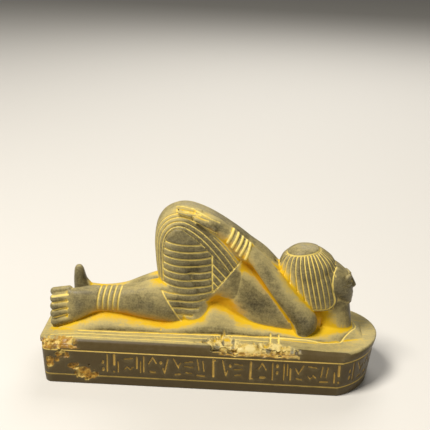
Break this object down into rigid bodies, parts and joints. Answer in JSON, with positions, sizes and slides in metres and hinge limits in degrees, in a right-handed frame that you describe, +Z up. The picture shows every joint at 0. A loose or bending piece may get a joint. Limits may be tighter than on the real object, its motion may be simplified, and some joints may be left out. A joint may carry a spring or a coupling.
{
  "type": "kneeling slave statue",
  "caption": "Small stone statue of a slave kneeling face down with hands on the back, in pleated kilt and ribbed wig, in one with a long plinth rounded at the head end.",
  "frame": {"origin": "centre of the plinth's underside, which is the middle of the bounding box's bottom", "axes": "+X towards the rounded end under the head, -Y towards the side seen in the picture, +Z up"},
  "size_m": [0.1282, 0.0444, 0.0673],
  "materials": {
    "dark_stone": "satin dark grey-green stone with yellow patina in the hollows and on the plinth's top"
  },
  "bodies": {
    "root": {"slave_statue": "dark_stone"}
  },
  "joints": []
}
